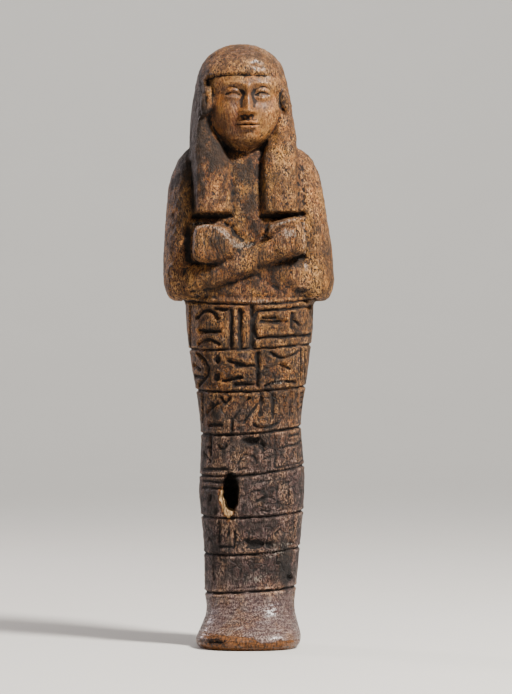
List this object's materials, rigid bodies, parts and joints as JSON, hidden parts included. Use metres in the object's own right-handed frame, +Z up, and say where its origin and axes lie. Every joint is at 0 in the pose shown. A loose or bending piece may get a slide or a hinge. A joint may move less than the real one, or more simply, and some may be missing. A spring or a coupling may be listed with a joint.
{
  "type": "ushabti figurine",
  "caption": "Wooden mummiform funerary figurine with tripartite wig, forearms crossed on the chest, incised bands round the legs and a flat sole under flared feet.",
  "frame": {"origin": "under the middle of the figure's bounding box, on the plane of its sole", "axes": "+Z up along the figure's height, -Y the way its face and toes point, +X towards its left side"},
  "size_m": [0.0586, 0.042, 0.206],
  "materials": {
    "wood": "worn satin"
  },
  "bodies": {
    "root": {"ushabti_figure": "wood"}
  },
  "joints": []
}
